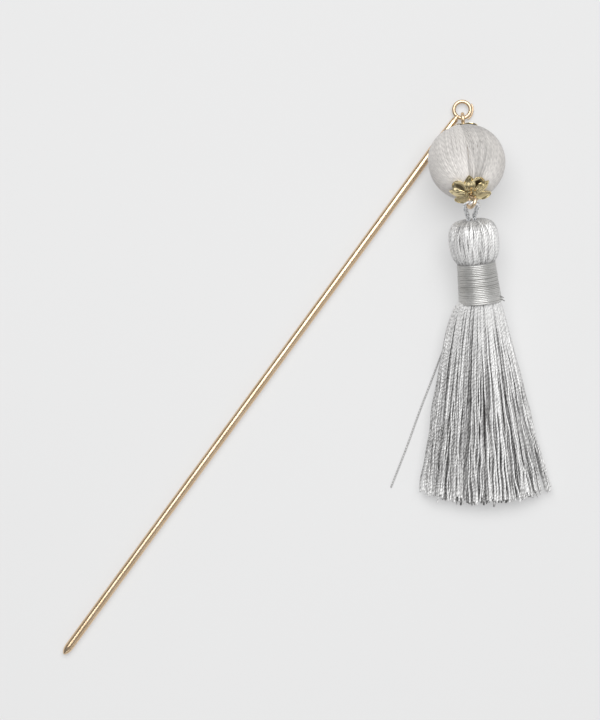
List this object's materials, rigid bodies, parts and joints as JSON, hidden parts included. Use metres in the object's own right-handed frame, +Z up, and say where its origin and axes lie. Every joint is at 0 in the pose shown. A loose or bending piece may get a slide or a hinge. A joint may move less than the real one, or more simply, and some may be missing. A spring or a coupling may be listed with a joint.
{
  "type": "hair stick",
  "caption": "Wire hair stick with an eye ring, from which hang a thread-wrapped bead between flower caps and a silky thread tassel on a cord loop.",
  "frame": {"origin": "on the stick's axis, at the ring end of the plain cylindrical shank; the table it lies on is 1.0 mm below", "axes": "-Y along the shank towards its point, +Y towards the eye ring, +Z up from the table, the pendant lies on the +X side"},
  "size_m": [0.072, 0.1598, 0.0184],
  "materials": {
    "gold_wire": "polished gold plate",
    "gold_cap": "polished pale gold plate on stamped sheet",
    "bead_wood": "turned, unfinished",
    "bead_thread": "satin silk thread, off-white",
    "cord_thread": "twisted satin cord, silver grey",
    "tassel_thread": "lustrous rayon thread, silver grey",
    "binding_thread": "wound rayon thread, silver grey"
  },
  "bodies": {
    "stick": {"hair_stick": "gold_wire", "eye_ring": "gold_wire", "ring_braze": "gold_wire"},
    "pin": {"eye_pin": "gold_wire"},
    "upper_cap": {"upper_cap": "gold_cap"},
    "bead": {"bead_core": "bead_wood", "bead_wrap": "bead_thread"},
    "lower_cap": {"lower_cap": "gold_cap"},
    "cord": {"cord_loop": "cord_thread", "cord_knot": "cord_thread"},
    "tassel": {"head_threads": "tassel_thread", "head_filler": "tassel_thread", "inner_tie": "tassel_thread", "neck_threads": "tassel_thread", "neck_binding": "binding_thread", "binding_tail": "binding_thread"},
    "skirt": {"skirt_lock_1": "tassel_thread", "skirt_lock_2": "tassel_thread", "skirt_lock_3": "tassel_thread", "skirt_lock_4": "tassel_thread", "skirt_lock_5": "tassel_thread", "stray_thread": "tassel_thread"}
  },
  "joints": [
    {"name": "pendant_swing", "type": "hinge", "parent": "stick", "child": "pin", "pos_m": [0, 0.00378, 0], "axis": [0, 0, 1], "range_deg": [-9, 285]},
    {"name": "upper_cap_spin", "type": "hinge", "parent": "pin", "child": "upper_cap", "pos_m": [0.00818, -0.00574, 0.008], "axis": [0.5209, -0.6057, 0.6015], "continuous": true},
    {"name": "bead_spin", "type": "hinge", "parent": "pin", "child": "bead", "pos_m": [0.00818, -0.00574, 0.008], "axis": [0.5209, -0.6057, 0.6015], "continuous": true},
    {"name": "lower_cap_spin", "type": "hinge", "parent": "pin", "child": "lower_cap", "pos_m": [0.00818, -0.00574, 0.008], "axis": [0.5209, -0.6057, 0.6015], "continuous": true},
    {"name": "cord_swing", "type": "hinge", "parent": "pin", "child": "cord", "pos_m": [0.01441, -0.01298, 0.01519], "axis": [-0.7581, -0.6521, 0], "range_deg": [-12, 120]},
    {"name": "tassel_sway", "type": "hinge", "parent": "cord", "child": "tassel", "pos_m": [0.01801, -0.01717, 0.00676], "axis": [0.1059, -0.1152, 0.9877], "range_deg": [-12, 12]},
    {"name": "skirt_sway", "type": "hinge", "parent": "tassel", "child": "skirt", "pos_m": [0.02985, -0.03004, 0.00399], "axis": [0, 0, 1], "range_deg": [-6, 6]}
  ]
}
